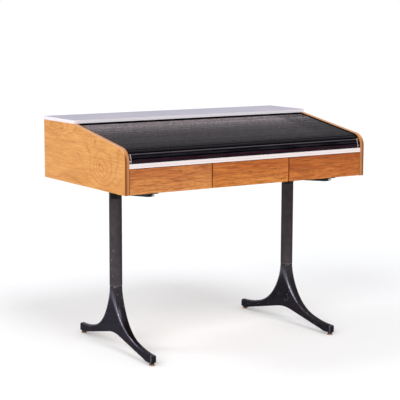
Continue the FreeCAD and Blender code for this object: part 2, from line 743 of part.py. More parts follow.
def base_casting():
    """Neck, two arms and toes in one piece, with a spigot, a blind rod bore and two stem holes."""
    spun = Part.Face(side_curve()).revolve(Vector(0, 0, 0), Vector(0, 0, 1), 360)
    shape = spun.common(side_walls())
    spigot = Part.makeCylinder(spigot_radius, size("spigot_length"), Vector(0, 0, size("seam_height")))
    shape = shape.fuse(spigot)
    bore_foot = size("seam_height") + size("spigot_length") - size("rod_bite")
    shape = shape.cut(Part.makeCylinder(bore_radius, size("rod_bite"), Vector(0, 0, bore_foot)))
    for end in ENDS.values():
        hole = Part.makeCylinder(
            size("glide_stem_diameter") / 2 + size("glide_stem_clearance"),
            size("glide_height") + size("glide_stem_length"),
            Vector(0, end * glide_reach, size("glide_chamfer")),
        )
        shape = shape.cut(hole)
    return shape.removeSplitter()


def glide():
    """A turned foot with its stem, standing on the floor at the origin."""
    radius = size("glide_diameter") / 2
    chamfer = size("glide_chamfer")
    stem = size("glide_stem_diameter") / 2
    top = size("glide_height")
    tip = top + size("glide_stem_length")
    outline = [Vector(0, 0, 0), Vector(radius - chamfer, 0, 0), Vector(radius, 0, chamfer),
               Vector(radius, 0, top - chamfer), Vector(radius - chamfer, 0, top), Vector(stem, 0, top),
               Vector(stem, 0, tip), Vector(0, 0, tip)]
    return Part.Face(Part.makePolygon(outline + outline[:1])).revolve(Vector(0, 0, 0), Vector(0, 0, 1), 360)


def upper_outline():
    """Corners (y, z) of the upper casting's arms, front and rear."""
    top = CASE_BOTTOM
    reach = "(Sizes.desk_depth / 2 - Sizes.arm_setback)"
    half = [(reach, top),
            (reach, f"{top} - Sizes.arm_lug_tip"),
            (f"({reach} - Sizes.arm_lug_length)", f"{top} - Sizes.arm_lug_root"),
            (f"({reach} - Sizes.arm_lug_length)", f"{top} - Sizes.arm_end_depth"),
            ("Sizes.arm_middle", f"{top} - Sizes.arm_middle_depth"),
            ("Sizes.arm_root", f"{top} - Sizes.arm_root_depth"),
            ("Sizes.column_diameter / 2", f"{top} - Sizes.hub_depth")]
    return half + [(f"-{y}", z) for y, z in reversed(half)]


screws = []
rods = []
rod_nuts = []
glide_nuts = []
for word, side in SIDES.items():
    lean = turn[word]
    foot = Vector(side * leg_x, 0, 0)

    arms = extrusion(f"arms_{word}", "YZ_Plane", upper_outline(), "Sizes.arm_width", midplane=True)
    place(arms, (f"{side} * {LEG_X}", "0", "0"))
    hub = rod(f"hub_{word}", "Sizes.column_diameter / 2", "Sizes.hub_depth + Sizes.spigot_length",
              (f"{side} * {LEG_X}", "0", f"{CASE_BOTTOM} - Sizes.hub_depth - Sizes.spigot_length"))
    spigot_foot = foot + Vector(0, 0, column_top - size("spigot_length"))
    around_spigot = Part.makeCylinder(column_radius, size("spigot_length"), spigot_foot).cut(
        Part.makeCylinder(spigot_radius, size("spigot_length"), spigot_foot))
    nut_foot = case_bottom - size("rod_seat_depth")
    holes = [around_spigot,
             Part.makeCylinder(bore_radius, size("hub_depth") + size("spigot_length"), spigot_foot),
             Part.makeCylinder(size("rod_seat_diameter") / 2, size("rod_seat_depth"),
                               foot + Vector(0, 0, nut_foot))]
    clearance_radius = size("screw_diameter") / 2 + size("screw_clearance")
    for reach in screw_reaches:
        at = foot + Vector(0, reach, 0)
        holes.append(Part.makeCylinder(clearance_radius, size("arm_middle_depth"),
                                       at + Vector(0, 0, case_bottom - size("arm_middle_depth"))))
        lug = abs(reach) == lug_screw_reach
        seat = case_bottom - (size("arm_lug_root") if lug else size("arm_seat_thickness"))
        holes.append(Part.makeCylinder(size("arm_counterbore_diameter") / 2, size("arm_middle_depth"),
                                       at + Vector(0, 0, seat - size("arm_middle_depth"))))
        head = Part.makeCylinder(size("screw_head_diameter") / 2, size("screw_head_height"),
                                 at + Vector(0, 0, seat - size("screw_head_height")))
        shank_length = case_bottom + size("screw_bite") - seat
        shank = Part.makeCylinder(size("screw_diameter") / 2, shank_length, at + Vector(0, 0, seat))
        screws.append(head.fuse(shank))
    hole_tool = solid(f"upper_holes_{word}", Part.makeCompound(holes))
    keep(cut(f"upper_casting_{word}", fused(f"upper_blank_{word}", [arms, hub]), hole_tool),
         f"upper_casting_{word}")

    tube = rod(f"tube_{word}", "Sizes.column_diameter / 2",
               f"{CASE_BOTTOM} - Sizes.hub_depth - Sizes.seam_height",
               (f"{side} * {LEG_X}", "0", "Sizes.seam_height"))
    bore = rod(f"tube_bore_{word}", "Sizes.column_diameter / 2 - Sizes.column_wall",
               f"{CASE_BOTTOM} - Sizes.hub_depth - Sizes.seam_height",
               (f"{side} * {LEG_X}", "0", "Sizes.seam_height"))
    keep(cut(f"column_{word}", tube, bore), f"column_{word}")

    casting = base_casting()
    casting.rotate(Vector(0, 0, 0), Vector(0, 0, 1), lean)
    casting.translate(foot)
    keep(solid(f"base_casting_{word}", casting), f"base_casting_{word}")

    rod_foot = size("seam_height") + size("spigot_length") - size("rod_bite") + size("rod_end_gap")
    rod_top = nut_foot + size("rod_nut_height") + size("rod_tail")
    rods.append(Part.makeCylinder(size("rod_diameter") / 2, rod_top - rod_foot,
                                  foot + Vector(0, 0, rod_foot)))
    rod_nuts.append(hexagon(size("rod_nut_across"), size("rod_nut_height"),
                            foot + Vector(0, 0, nut_foot), bore_radius))

    for end_word, end in ENDS.items():
        reach = Vector(0, end * glide_reach, 0)
        at = foot + FreeCAD.Rotation(Vector(0, 0, 1), lean).multVec(reach)
        shape = glide()
        shape.translate(at)
        keep(solid(f"glide_{end_word}_{word}", shape), f"glide_{end_word}_{word}")
        nut_base = at + Vector(0, 0, size("glide_height") + size("glide_nut_gap"))
        glide_nuts.append(hexagon(size("glide_nut_across"), size("glide_nut_height"), nut_base,
                                  size("glide_stem_diameter") / 2 + size("glide_stem_clearance")))

keep(solid("casting_screws", Part.makeCompound(screws)), "casting_screws")
keep(solid("tie_rods", Part.makeCompound(rods)), "tie_rods")
keep(solid("tie_rod_nuts", Part.makeCompound(rod_nuts)), "tie_rod_nuts")
keep(solid("glide_nuts", Part.makeCompound(glide_nuts)), "glide_nuts")

# ---- Checks and files -------------------------------------------------------------------------

doc.recompute()
for item in doc.Objects:
    if "Invalid" in item.State or "Error" in item.State:
        raise RuntimeError(f"{item.Label} didn't rebuild: {item.State}")
for piece in nodes:
    if piece.Shape.isNull() or not piece.Shape.isValid() or not piece.Shape.Solids:
        raise RuntimeError(f"{piece.Label} has no valid shape")

os.makedirs("parts", exist_ok=True)
for piece in nodes:
    piece.Shape.exportStep(os.path.join("parts", piece.Label + ".step"))
print(len(nodes), "nodes,", sum(len(piece.Shape.Solids) for piece in nodes), "solids")
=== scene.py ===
import math

import bmesh
import bpy
import numpy as np
from mathutils import Matrix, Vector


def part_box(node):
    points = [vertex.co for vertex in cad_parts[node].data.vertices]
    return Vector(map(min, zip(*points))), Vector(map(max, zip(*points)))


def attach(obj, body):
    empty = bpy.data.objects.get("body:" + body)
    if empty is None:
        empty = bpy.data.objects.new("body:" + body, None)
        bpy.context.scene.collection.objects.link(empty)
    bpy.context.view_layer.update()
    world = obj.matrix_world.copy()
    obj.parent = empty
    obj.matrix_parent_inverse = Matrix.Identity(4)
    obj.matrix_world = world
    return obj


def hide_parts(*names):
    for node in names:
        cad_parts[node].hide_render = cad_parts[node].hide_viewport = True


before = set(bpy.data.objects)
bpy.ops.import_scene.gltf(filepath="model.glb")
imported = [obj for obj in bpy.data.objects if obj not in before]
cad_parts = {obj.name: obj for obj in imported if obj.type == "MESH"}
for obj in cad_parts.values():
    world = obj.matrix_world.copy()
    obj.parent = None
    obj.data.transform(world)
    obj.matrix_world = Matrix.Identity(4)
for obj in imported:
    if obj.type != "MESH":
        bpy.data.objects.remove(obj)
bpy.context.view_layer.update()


# Studio ---------------------------------------------------------------------------------
# A long lens a little above the desk, left of its front, looks slightly down. The floor and the backdrop
# are white. Two large soft lamps light the front and the left side, and a weaker one the rear.
FRAME_PIXELS = 400
FOCAL_PIXELS = 1275.0
SENSOR_WIDTH = 36
EYE = np.array([-2.7018, -4.0548, 1.2560])
YAW, PITCH, ROLL = np.radians([33.44, -8.46, 0.20])


def aim(forward, roll=0.0):
    """A turn whose -Z looks along forward and whose X is level, rolled about the line of sight."""
    forward = forward / np.linalg.norm(forward)
    level = np.cross(forward, [0, 0, 1])
    level /= np.linalg.norm(level)
    upright = np.cross(level, forward)
    across = np.cos(roll) * level + np.sin(roll) * upright
    return Matrix(np.column_stack([across, np.cross(-forward, across), -forward])).to_euler()


lens = bpy.data.cameras.new("lens")
lens.sensor_width = SENSOR_WIDTH
lens.lens = FOCAL_PIXELS / FRAME_PIXELS * SENSOR_WIDTH
camera = bpy.data.objects.new("camera", lens)
camera.location = EYE
camera.rotation_euler = aim(
    np.array([np.sin(YAW) * np.cos(PITCH), np.cos(YAW) * np.cos(PITCH), np.sin(PITCH)]), ROLL)
bpy.context.scene.collection.objects.link(camera)
bpy.context.scene.camera = camera
bpy.context.scene.view_settings.view_transform = "Standard"

LAMPS = {
    "front_softbox": {"along": (0.02, 0.67, -0.74), "spread": 26, "strength": 1.15},
    "left_softbox": {"along": (0.78, 0.40, -0.48), "spread": 36, "strength": 1.5},
    "rear_strip": {"along": (0.54, -0.40, -0.74), "spread": 16, "strength": 0.5},
}
for lamp, plan in LAMPS.items():
    light = bpy.data.lights.new(lamp, "SUN")
    light.angle = math.radians(plan["spread"])
    light.energy = plan["strength"]
    holder = bpy.data.objects.new(lamp, light)
    holder.rotation_euler = aim(np.array(plan["along"]))
    bpy.context.scene.collection.objects.link(holder)


def tone(red, green, blue):
    """A colour given as screen values from 0 to 255, turned into the linear values that shaders take."""
    level = np.array([red, green, blue]) / 255
    linear = np.where(level <= 0.04045, level / 12.92, ((level + 0.055) / 1.055) ** 2.4)
    return (*linear.tolist(), 1.0)


def finish(name, **numbers):
    """A new material whose Principled shader holds the numbers that are the same all over it."""
    material = bpy.data.materials.new(name)
    material.use_nodes = True
    for socket, number in numbers.items():
        material.node_tree.nodes["Principled BSDF"].inputs[socket.replace("_", " ")].default_value = number
    return material


def connect(material, **links):
    """Links outputs to sockets of the material's Principled shader."""
    shader = material.node_tree.nodes["Principled BSDF"]
    for socket, output in links.items():
        material.node_tree.links.new(output, shader.inputs[socket.replace("_", " ")])


def node(owner, kind, sockets=None, **settings):
    """One more shader node of a material or world; a socket takes a number or another node's output."""
    made = owner.node_tree.nodes.new("ShaderNode" + kind)
    for setting, choice in settings.items():
        setattr(made, setting, choice)
    for socket, given in (sockets or {}).items():
        if isinstance(given, bpy.types.NodeSocket):
            owner.node_tree.links.new(given, made.inputs[socket])
        else:
            made.inputs[socket].default_value = given
    return made


def reckon(owner, operation, *terms):
    """The result of a Math node; a term is a number or another node's output."""
    return node(owner, "Math", dict(enumerate(terms)), operation=operation).outputs[0]


def seen(owner):
    """One where a surface is looked at, straight, in a gloss or through glass, and nought where it only
    throws its light on others."""
    ray = node(owner, "LightPath").outputs
    straight_or_gloss = reckon(owner, "MAXIMUM", ray["Is Camera Ray"], ray["Is Glossy Ray"])
    return reckon(owner, "MAXIMUM", straight_or_gloss, ray["Is Transmission Ray"])


FLOOR_SIDE = 60
FLOOR_DROP = 0.0002
FLOOR_LIFT = 0.17
SKY_LIGHT = 0.42
half = FLOOR_SIDE / 2
floor_mesh = bpy.data.meshes.new("floor")
floor_mesh.from_pydata([(-half, -half, -FLOOR_DROP), (half, -half, -FLOOR_DROP),
                        (half, half, -FLOOR_DROP), (-half, half, -FLOOR_DROP)], [], [(0, 1, 2, 3)])
floor = bpy.data.objects.new("floor", floor_mesh)
bpy.context.scene.collection.objects.link(floor)
paper = finish("paper", Base_Color=tone(236, 237, 240), Roughness=1.0, Specular_IOR_Level=0.0,
               Emission_Color=(1, 1, 1, 1))
connect(paper, Emission_Strength=reckon(paper, "MULTIPLY", seen(paper), FLOOR_LIFT))
floor_mesh.materials.append(paper)

sky = bpy.data.worlds.new("sky")
sky.use_nodes = True
bpy.context.scene.world = sky
brightness = reckon(sky, "ADD", reckon(sky, "MULTIPLY", seen(sky), 1 - SKY_LIGHT), SKY_LIGHT)
backdrop = sky.node_tree.nodes["Background"].inputs
backdrop["Color"].default_value = (1, 1, 1, 1)
sky.node_tree.links.new(brightness, backdrop["Strength"])


# Base castings --------------------------------------------------------------------------
# Each leg stands on one iron casting: a neck as wide as its column, which sweeps out into a front
# and a rear arm with a toe. It is sprayed with black enamel, and chipped here and there.
CHIP_SPACING = 0.016
CHIP_REACH = 0.08
CHIP_SHARE = 0.4
CHIP_TONE = (176, 170, 166)
# The pale bluish tone of the highlight painted along the castings' ridges and toe rims.
HIGHLIGHT_TONE = (128, 126, 142)
BARE_TONE = (190, 184, 182)
BARE_HEIGHT = 0.0016
HEAD_START, HEAD_FULL = 0.16, 0.24


def blend(owner, share, first, second):
    """A colour between first and second, by a share from 0 to 1."""
    return node(owner, "Mix", {0: share, 6: first, 7: second}, data_type="RGBA").outputs[2]


def ramp(owner, given, start, end, low=0.0, high=1.0):
    """A value led evenly from low, where given is at start, to high at end, and level beyond them."""
    return node(owner, "MapRange", {0: given, 1: start, 2: end, 3: low, 4: high}).outputs[0]


def spot_on(owner):
    """The point that is being coloured, in metres from the desk's middle on the floor."""
    return node(owner, "TexCoord").outputs["Object"]


def place_on(owner):
    """The three coordinates of that point: to the right, to the back and up."""
    return node(owner, "SeparateXYZ", {0: spot_on(owner)}).outputs


def noise(owner, space, scale, detail=3.0, start=0.0):
    """Noise from about a quarter to three quarters, whose waves are 1 / scale long on each axis."""
    scales = scale if isinstance(scale, tuple) else (scale, scale, scale)
    scaled = node(owner, "Mapping", {0: space, 1: (start, start, start), 3: scales}).outputs[0]
    return node(owner, "TexNoise", {"Vector": scaled, "Scale": 1, "Detail": detail}).outputs[0]


def relief(owner, strength, depth, height):
    """Fine unevenness of a surface, as deep as depth where height is one."""
    return node(owner, "Bump", {"Strength": strength, "Distance": depth, "Height": height}).outputs[0]


def enamel(name, foot_tone, head_tone, gloss, roughness, bare_from=None):
    """Black enamel with a mottled gloss, an orange-peel bump, and pale chips in a few cells. Its foot tone
    gives way to the head tone at the casting's neck. The ridge attribute says where a highlight is painted
    on the casting's ridges and toe rims, and bare_from is the height of an end whose rim is worn bare."""
    material = finish(name, **gloss)
    spot = spot_on(material)
    height = place_on(material)[2]
    mottle = ramp(material, noise(material, spot, 38, 5), 0.35, 0.65)
    head = ramp(material, height, HEAD_START, HEAD_FULL)
    colour = blend(material, head, tone(*foot_tone), tone(*head_tone))
    colour = blend(material, ramp(material, mottle, 0, 1, 0.0, 0.25), colour, tone(0, 0, 0))
    # Painted highlight: the ridge attribute turns the enamel pale along the ridges and toe rims.
    ridge = node(material, "Attribute", attribute_name="ridge").outputs["Fac"]
    painted_highlight = reckon(material, "MULTIPLY", ridge, ramp(material, mottle, 0, 1, 0.5, 0.85))
    colour = blend(material, painted_highlight, colour, tone(*HIGHLIGHT_TONE))
    if bare_from:
        bare = ramp(material, height, bare_from, bare_from + BARE_HEIGHT, 0.6, 0.0)
        colour = blend(material, bare, colour, tone(*BARE_TONE))
    cell = node(material, "TexVoronoi", {"Vector": spot, "Scale": 1 / CHIP_SPACING}).outputs
    draw = node(material, "SeparateColor", {0: cell["Color"]}).outputs[0]
    chip = reckon(material, "MULTIPLY",
                  reckon(material, "LESS_THAN", cell["Distance"], CHIP_REACH),
                  reckon(material, "GREATER_THAN", draw, 1 - CHIP_SHARE))
    connect(material,
            Base_Color=blend(material, chip, colour, tone(*CHIP_TONE)),
            Roughness=ramp(material, mottle, 0, 1, roughness - 0.05, roughness + 0.08),
            Normal=relief(material, 0.1, 0.0004, noise(material, spot, 420, 2)))
    return material


def skin(name, rings, material, flat_parts=True):
    """A surface through closed rings of points, counted (ring, point, axis). Quads join each ring to the
    next, and a flat face shuts each end. With flat_parts, its flat parts are shaded flat up to their rims."""
    count, around = rings.shape[:2]
    index = np.arange(count * around).reshape(count, around)
    here, there = index[:-1], index[1:]
    quads = np.stack([here, np.roll(here, -1, 1), np.roll(there, -1, 1), there], -1).reshape(-1, 4)
    ends = [index[0, ::-1].tolist(), index[-1].tolist()]
    mesh = bpy.data.meshes.new(name)
    mesh.from_pydata(rings.reshape(-1, 3), [], quads.tolist() + ends)
    shell = bmesh.new()
    shell.from_mesh(mesh)
    bmesh.ops.recalc_face_normals(shell, faces=shell.faces)
    shell.to_mesh(mesh)
    shell.free()
    mesh.polygons.foreach_set("use_smooth", np.ones(len(mesh.polygons), bool))
    mesh.materials.append(material)
    piece = bpy.data.objects.new(name, mesh)
    bpy.context.scene.collection.objects.link(piece)
    if flat_parts:
        piece.modifiers.new("even_shading", "WEIGHTED_NORMAL").weight = 100
    return piece


TOE_OUT = math.radians(2.1)
NECK_RADIUS = 0.0238
SWEEP_RADIUS, SWEEP_ANGLE = 0.190, math.radians(71)
SIDE_RADIUS = 1.409
WEB_FOOT = 0.060
CROWN_RADIUS, CROWN_HALF, CROWN_HEIGHT = 0.190, 0.045, 0.062
TOE_TOP, TOE_LENGTH = 0.038, 0.040
ARCH_FOOT, ARCH_FOOT_RUN = 0.015, 0.014
RIDGE_ROUND, FOOT_ROUND, SEAM_ROUND = 0.0075, 0.0025, 0.0007
# Widths and height fade of the highlight painted along the ridges and toe rims.
RIDGE_HIGHLIGHT_WIDTH, RIM_HIGHLIGHT_WIDTH = 0.5, 0.0014
HIGHLIGHT_HEIGHTS, HIGHLIGHT_SHARES = (0.036, 0.06, 0.19, 0.235), (0, 1, 1, 0)
NECK_STEPS, SWEEP_STEPS, ARM_STEPS, TOE_STEPS = 12, 34, 26, 8
RAYS, RAY_LIMIT, HALVINGS, CROWDING = 128, 1.6, 26, 1 / 7
low, high = np.array(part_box("base_casting_left"))
toe_bottom, reach = low[2], high[1]
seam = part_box("column_left")[0][2]
sweep_centre = np.array([NECK_RADIUS + SWEEP_RADIUS, seam])
shoulder = sweep_centre - SWEEP_RADIUS * np.array([math.cos(SWEEP_ANGLE), math.sin(SWEEP_ANGLE)])
toe_corner = np.array([reach, TOE_TOP])
chord = np.linalg.norm(toe_corner - shoulder)
arm_radius = chord / 2 / math.sin((math.pi / 2 - SWEEP_ANGLE) / 2)
to_centre = (sweep_centre - shoulder) / SWEEP_RADIUS
arm_centre = shoulder + arm_radius * to_centre


def both(first, second, round_off):
    """The inside of two shapes at once, as a gap that is negative inside: the larger gap, with the edge
    where they meet turned to a quarter round of radius round_off."""
    inside = np.minimum(np.maximum(first, second), -round_off)
    return inside + np.hypot(np.maximum(first + round_off, 0), np.maximum(second + round_off, 0))


def top_gap(radius, height):
    """How far a point lies above the casting's upper curve, which is spun about the column's line: the
    neck's sweep as far as the shoulder, and from there a flatter arc out to the toe."""
    on_sweep = SWEEP_RADIUS - np.hypot(radius - sweep_centre[0], height - sweep_centre[1])
    on_arm = arm_radius - np.hypot(radius - arm_centre[0], height - arm_centre[1])
    past = (radius - shoulder[0]) * to_centre[1] - (height - shoulder[1]) * to_centre[0] > 0
    return np.where(past, on_arm, on_sweep)


def side_gap(across, height):
    """How far a point lies outside the web's two sides, which flare up to the neck on a long arc."""
    flare = np.maximum(SIDE_RADIUS**2 - (seam - np.maximum(height, WEB_FOOT)) ** 2, 0)
    return np.abs(across) - (NECK_RADIUS - SIDE_RADIUS + np.sqrt(flare))


def underside(radius):
    """Height of the arch: a crown arc in the middle, a straight run out to the foot, then the toe."""
    heel = reach - TOE_LENGTH
    crown = CROWN_HEIGHT - CROWN_RADIUS + np.sqrt(CROWN_RADIUS**2 - np.minimum(radius, CROWN_HALF) ** 2)
    crown_end = CROWN_HEIGHT - CROWN_RADIUS + math.sqrt(CROWN_RADIUS**2 - CROWN_HALF**2)
    straight = np.interp(radius, [CROWN_HALF, heel - ARCH_FOOT_RUN, heel], [crown_end, ARCH_FOOT, toe_bottom])
    return np.where(radius < CROWN_HALF, crown, straight)


def casting_gap(across, along, height):
    """How far a point lies outside the casting: under the upper curve, within the web's sides, over the
    arch, and short of the toe's end and the seam."""
    radius = np.hypot(across, along)
    gap = both(top_gap(radius, height), side_gap(across, height), RIDGE_ROUND)
    gap = both(gap, underside(np.abs(along)) - height, FOOT_ROUND)
    gap = both(gap, radius - reach, FOOT_ROUND)
    return both(gap, height - seam, SEAM_ROUND)


def casting_rings():
    """Sections of the casting from toe to toe. Each is found along rays from its middle: the point on
    every ray where the gap is nought, closed in on by halving the stretch that holds it. The rays crowd
    towards the section's sides, top and foot."""
    neck = NECK_RADIUS * np.sin(np.linspace(0, np.pi / 2, NECK_STEPS)[:-1])
    sweep = NECK_RADIUS + SWEEP_RADIUS * (1 - np.cos(np.linspace(0, SWEEP_ANGLE, SWEEP_STEPS)))
    arm = np.linspace(sweep[-1], reach - FOOT_ROUND, ARM_STEPS)[1:-1]
    toe = reach - FOOT_ROUND * (1 - np.sin(np.linspace(0, np.pi / 2, TOE_STEPS)))
    one_way = np.concatenate([neck, sweep, arm, toe])
    along = np.concatenate([-one_way[:0:-1], one_way])[:, None]
    far = np.clip(np.abs(along), NECK_RADIUS, None)
    on_sweep = seam - np.sqrt(np.maximum(SWEEP_RADIUS**2 - (sweep_centre[0] - far) ** 2, 0))
    on_arm = arm_centre[1] - np.sqrt(np.maximum(arm_radius**2 - (far - arm_centre[0]) ** 2, 0))
    top = np.where(far < shoulder[0], on_sweep, on_arm)
    foot = underside(np.abs(along))
    middle, half_height = (top + foot) / 2, (top - foot) / 2
    angle = np.linspace(0, 2 * np.pi, RAYS, endpoint=False)
    angle = angle - CROWDING * np.sin(4 * angle)
    ray_x = NECK_RADIUS * np.cos(angle) * np.ones_like(along)
    ray_z = half_height * np.sin(angle)
    near, beyond = np.zeros_like(ray_x), np.full_like(ray_x, RAY_LIMIT)
    for _ in range(HALVINGS):
        trial = (near + beyond) / 2
        outside = casting_gap(trial * ray_x, along, middle + trial * ray_z) > 0
        near, beyond = np.where(outside, near, trial), np.where(outside, trial, beyond)
    return np.stack([near * ray_x, along * np.ones_like(ray_x), middle + near * ray_z], -1)


def edge_highlight_share(across, along, height):
    """How strongly a highlight is painted on the enamel at a point, from two bell curves. One is highest on
    the rounded ridge, where the gaps to the upper curve and the web's side are equal, and fades out towards
    the toe and under the seam. The other is highest on the rim of the toe's end."""
    radius = np.hypot(across, along)
    upper, side = top_gap(radius, height), side_gap(across, height)
    ridge = np.exp(-((upper - side) / (RIDGE_HIGHLIGHT_WIDTH * RIDGE_ROUND)) ** 2)
    ridge = ridge * np.interp(height, HIGHLIGHT_HEIGHTS, HIGHLIGHT_SHARES)
    rim = np.exp(-((radius - reach - np.maximum(upper, side)) / RIM_HIGHLIGHT_WIDTH) ** 2)
    return np.maximum(ridge, rim)


casting_enamel = enamel("casting_enamel", (41, 38, 43), (66, 61, 64),
                        {"Metallic": 1.0, "Specular_Tint": (0.6, 0.6, 0.64, 1)}, 0.26)
rings = casting_rings()
# How strongly the highlight is painted at each point, kept in the casting's ridge attribute.
ridge = edge_highlight_share(*np.moveaxis(rings, -1, 0)).astype(np.float32)
for side, hand in (("left", -1), ("right", 1)):
    low, high = np.array(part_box(f"column_{side}"))
    leg_x = (low[0] + high[0]) / 2
    lean = hand * TOE_OUT
    turned = rings.copy()
    turned[..., 0] = leg_x + rings[..., 0] * math.cos(lean) - rings[..., 1] * math.sin(lean)
    turned[..., 1] = rings[..., 0] * math.sin(lean) + rings[..., 1] * math.cos(lean)
    casting = skin(f"{side}_base_casting", turned, casting_enamel, flat_parts=False)
    casting.data.attributes.new("ridge", "FLOAT", "POINT").data.foreach_set("value", ridge.ravel())
    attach(casting, "case")
    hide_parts(f"base_casting_{side}")


# Glides ---------------------------------------------------------------------------------
# Four levelling feet, turned from brass and a little tarnished. Each screws up into a toe of a casting,
# where a blackened steel nut locks it.


def metal(name, metallic, scale, detail, pale, dark, roughness):
    """Bare metal. One fine noise leads its colour from pale to dark, and its roughness from the first of
    two values to the second."""
    material = finish(name, Metallic=metallic)
    cloud = noise(material, spot_on(material), scale, detail)
    connect(material,
            Base_Color=blend(material, cloud, tone(*pale), tone(*dark)),
            Roughness=ramp(material, cloud, 0, 1, *roughness))
    return material


def paint(material, *parts):
    """Gives a material to parts that keep their shape."""
    for part in parts:
        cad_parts[part].data.materials[0] = material


glide_brass = metal("glide_brass", 1.0, 160, 6, (206, 178, 148), (126, 90, 66), (0.2, 0.5))
nut_steel = metal("nut_steel", 0.8, 220, 4, (40, 34, 32), (82, 66, 56), (0.3, 0.6))
paint(glide_brass, "glide_front_left", "glide_front_right", "glide_rear_left", "glide_rear_right")
paint(nut_steel, "glide_nuts")


# Columns --------------------------------------------------------------------------------
# A steel tube stands on each casting, drawn down by a tie rod through its middle. Its enamel is
# a warmer, duller black than the castings' own, and rubbed bare at its foot.
EASE_STEPS = 4
TUBE_POINTS = 96
TUBE_EASE = 0.0007
TUBE_TONE = (78, 72, 76)


def board(name, outline, low, high, axis, ease, material):
    """An outline carried along an axis from low to high. Both rims are quarter rounds: at angle a the
    outline draws in by ease (1 - sin a) while it stands ease (1 - cos a) off the face."""
    points, normals = outline
    angle = np.linspace(0, np.pi / 2, EASE_STEPS)
    inset = ease * (1 - np.sin(angle))
    depth = ease * (1 - np.cos(angle))
    inset = np.concatenate([inset, inset[::-1]])
    rings = np.empty((len(inset), len(points), 3))
    rings[..., axis] = np.concatenate([low + depth, high - depth[::-1]])[:, None]
    rings[..., [(axis + 1) % 3, (axis + 2) % 3]] = points - inset[:, None, None] * normals
    return skin(name, rings, material)


tube_enamel = enamel("tube_enamel", TUBE_TONE, TUBE_TONE, {"Specular_IOR_Level": 0.0}, 0.36, bare_from=seam)
angle = np.linspace(0, 2 * np.pi, TUBE_POINTS, endpoint=False)
circle = np.column_stack([np.cos(angle), np.sin(angle)])
for side in ("left", "right"):
    low, high = np.array(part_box(f"column_{side}"))
    centre = (low[:2] + high[:2]) / 2
    column = board(f"{side}_column", (centre + NECK_RADIUS * circle, circle), low[2], high[2], 2, TUBE_EASE,
                   tube_enamel)
    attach(column, "case")
    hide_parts(f"column_{side}")
plain_steel = metal("plain_steel", 1.0, 300, 5, (196, 196, 196), (150, 148, 146), (0.25, 0.45))
paint(plain_steel, "tie_rods", "tie_rod_nuts", "casting_screws", "guide_pins")


# Upper castings -------------------------------------------------------------------------
# A casting on top of each column carries the case on two tapered arms, one to the front and one to the
# rear, with a thin lug at each tip, screwed up into the case's bottom board.
# A darker copy of the castings' enamel: painted shade for the arms in the case's shadow.
SHADED_BRACKET_TONE = (30, 27, 29)
shaded_bracket_enamel = enamel("shaded_bracket_enamel", SHADED_BRACKET_TONE, SHADED_BRACKET_TONE, {"Specular_IOR_Level": 0.1}, 0.3)
paint(shaded_bracket_enamel, "upper_casting_left", "upper_casting_right")


# Side panels ----------------------------------------------------------------------------
# Each end of the case is a board veneered in honey-coloured wood, with the curtain's track let into its
# inner face, where a strip above the writing board is coloured near black. Its front and slope are banded,
# and show the board's plies.
SWAY = 0.018
LINE_SHARPNESS = 7.0


def growth_lines(material, grain, across, wander, knots, shift):
    """How strong the growth lines are at a point, and the knots' cores. The lines are the contours of a
    height that climbs across the grain, wanders with a slow noise, and has a hill at each knot; they fade
    in and out, but not at a knot. A knot is (along, across, reach along, reach across, peak, core)."""
    drift = noise(material, grain, (3.2, 9, 3), 3, shift)
    height = reckon(material, "ADD", across, reckon(material, "MULTIPLY", drift, wander))
    wobble = node(material, "TexNoise", {"Vector": grain, "Scale": 30, "Detail": 3}).outputs["Color"]
    swayed = node(material, "VectorMath", {0: wobble, 1: (SWAY, SWAY, SWAY), 2: grain},
                  operation="MULTIPLY_ADD").outputs[0]
    cores = near = 0.0
    for run, rise, long, wide, peak, core in knots:
        start = (-(run + SWAY / 2) / long, -(rise + SWAY / 2) / wide, 0)
        off = node(material, "Mapping", {0: swayed, 1: start, 3: (1 / long, 1 / wide, 0)}).outputs[0]
        off = node(material, "VectorMath", {0: off}, operation="LENGTH").outputs["Value"]
        fall = reckon(material, "MULTIPLY", reckon(material, "POWER", off, 1.4), -1.0)
        hill = reckon(material, "EXPONENT", fall)
        height = reckon(material, "ADD", height, reckon(material, "MULTIPLY", hill, peak))
        near = reckon(material, "MAXIMUM", near, hill)
        cores = reckon(material, "MAXIMUM", cores, ramp(material, off, 0.4, 0.15, 0.0, core))
    line = reckon(material, "MULTIPLY", reckon(material, "PINGPONG", height, 0.5), 2.0)
    line = reckon(material, "POWER", line, LINE_SHARPNESS)
    strength = ramp(material, noise(material, grain, (11, 17, 11), 2, shift + 5), 0.38, 0.6, 0.15, 0.8)
    strength = reckon(material, "MAXIMUM", strength, ramp(material, near, 0.05, 0.5))
    return reckon(material, "MULTIPLY", line, strength), cores


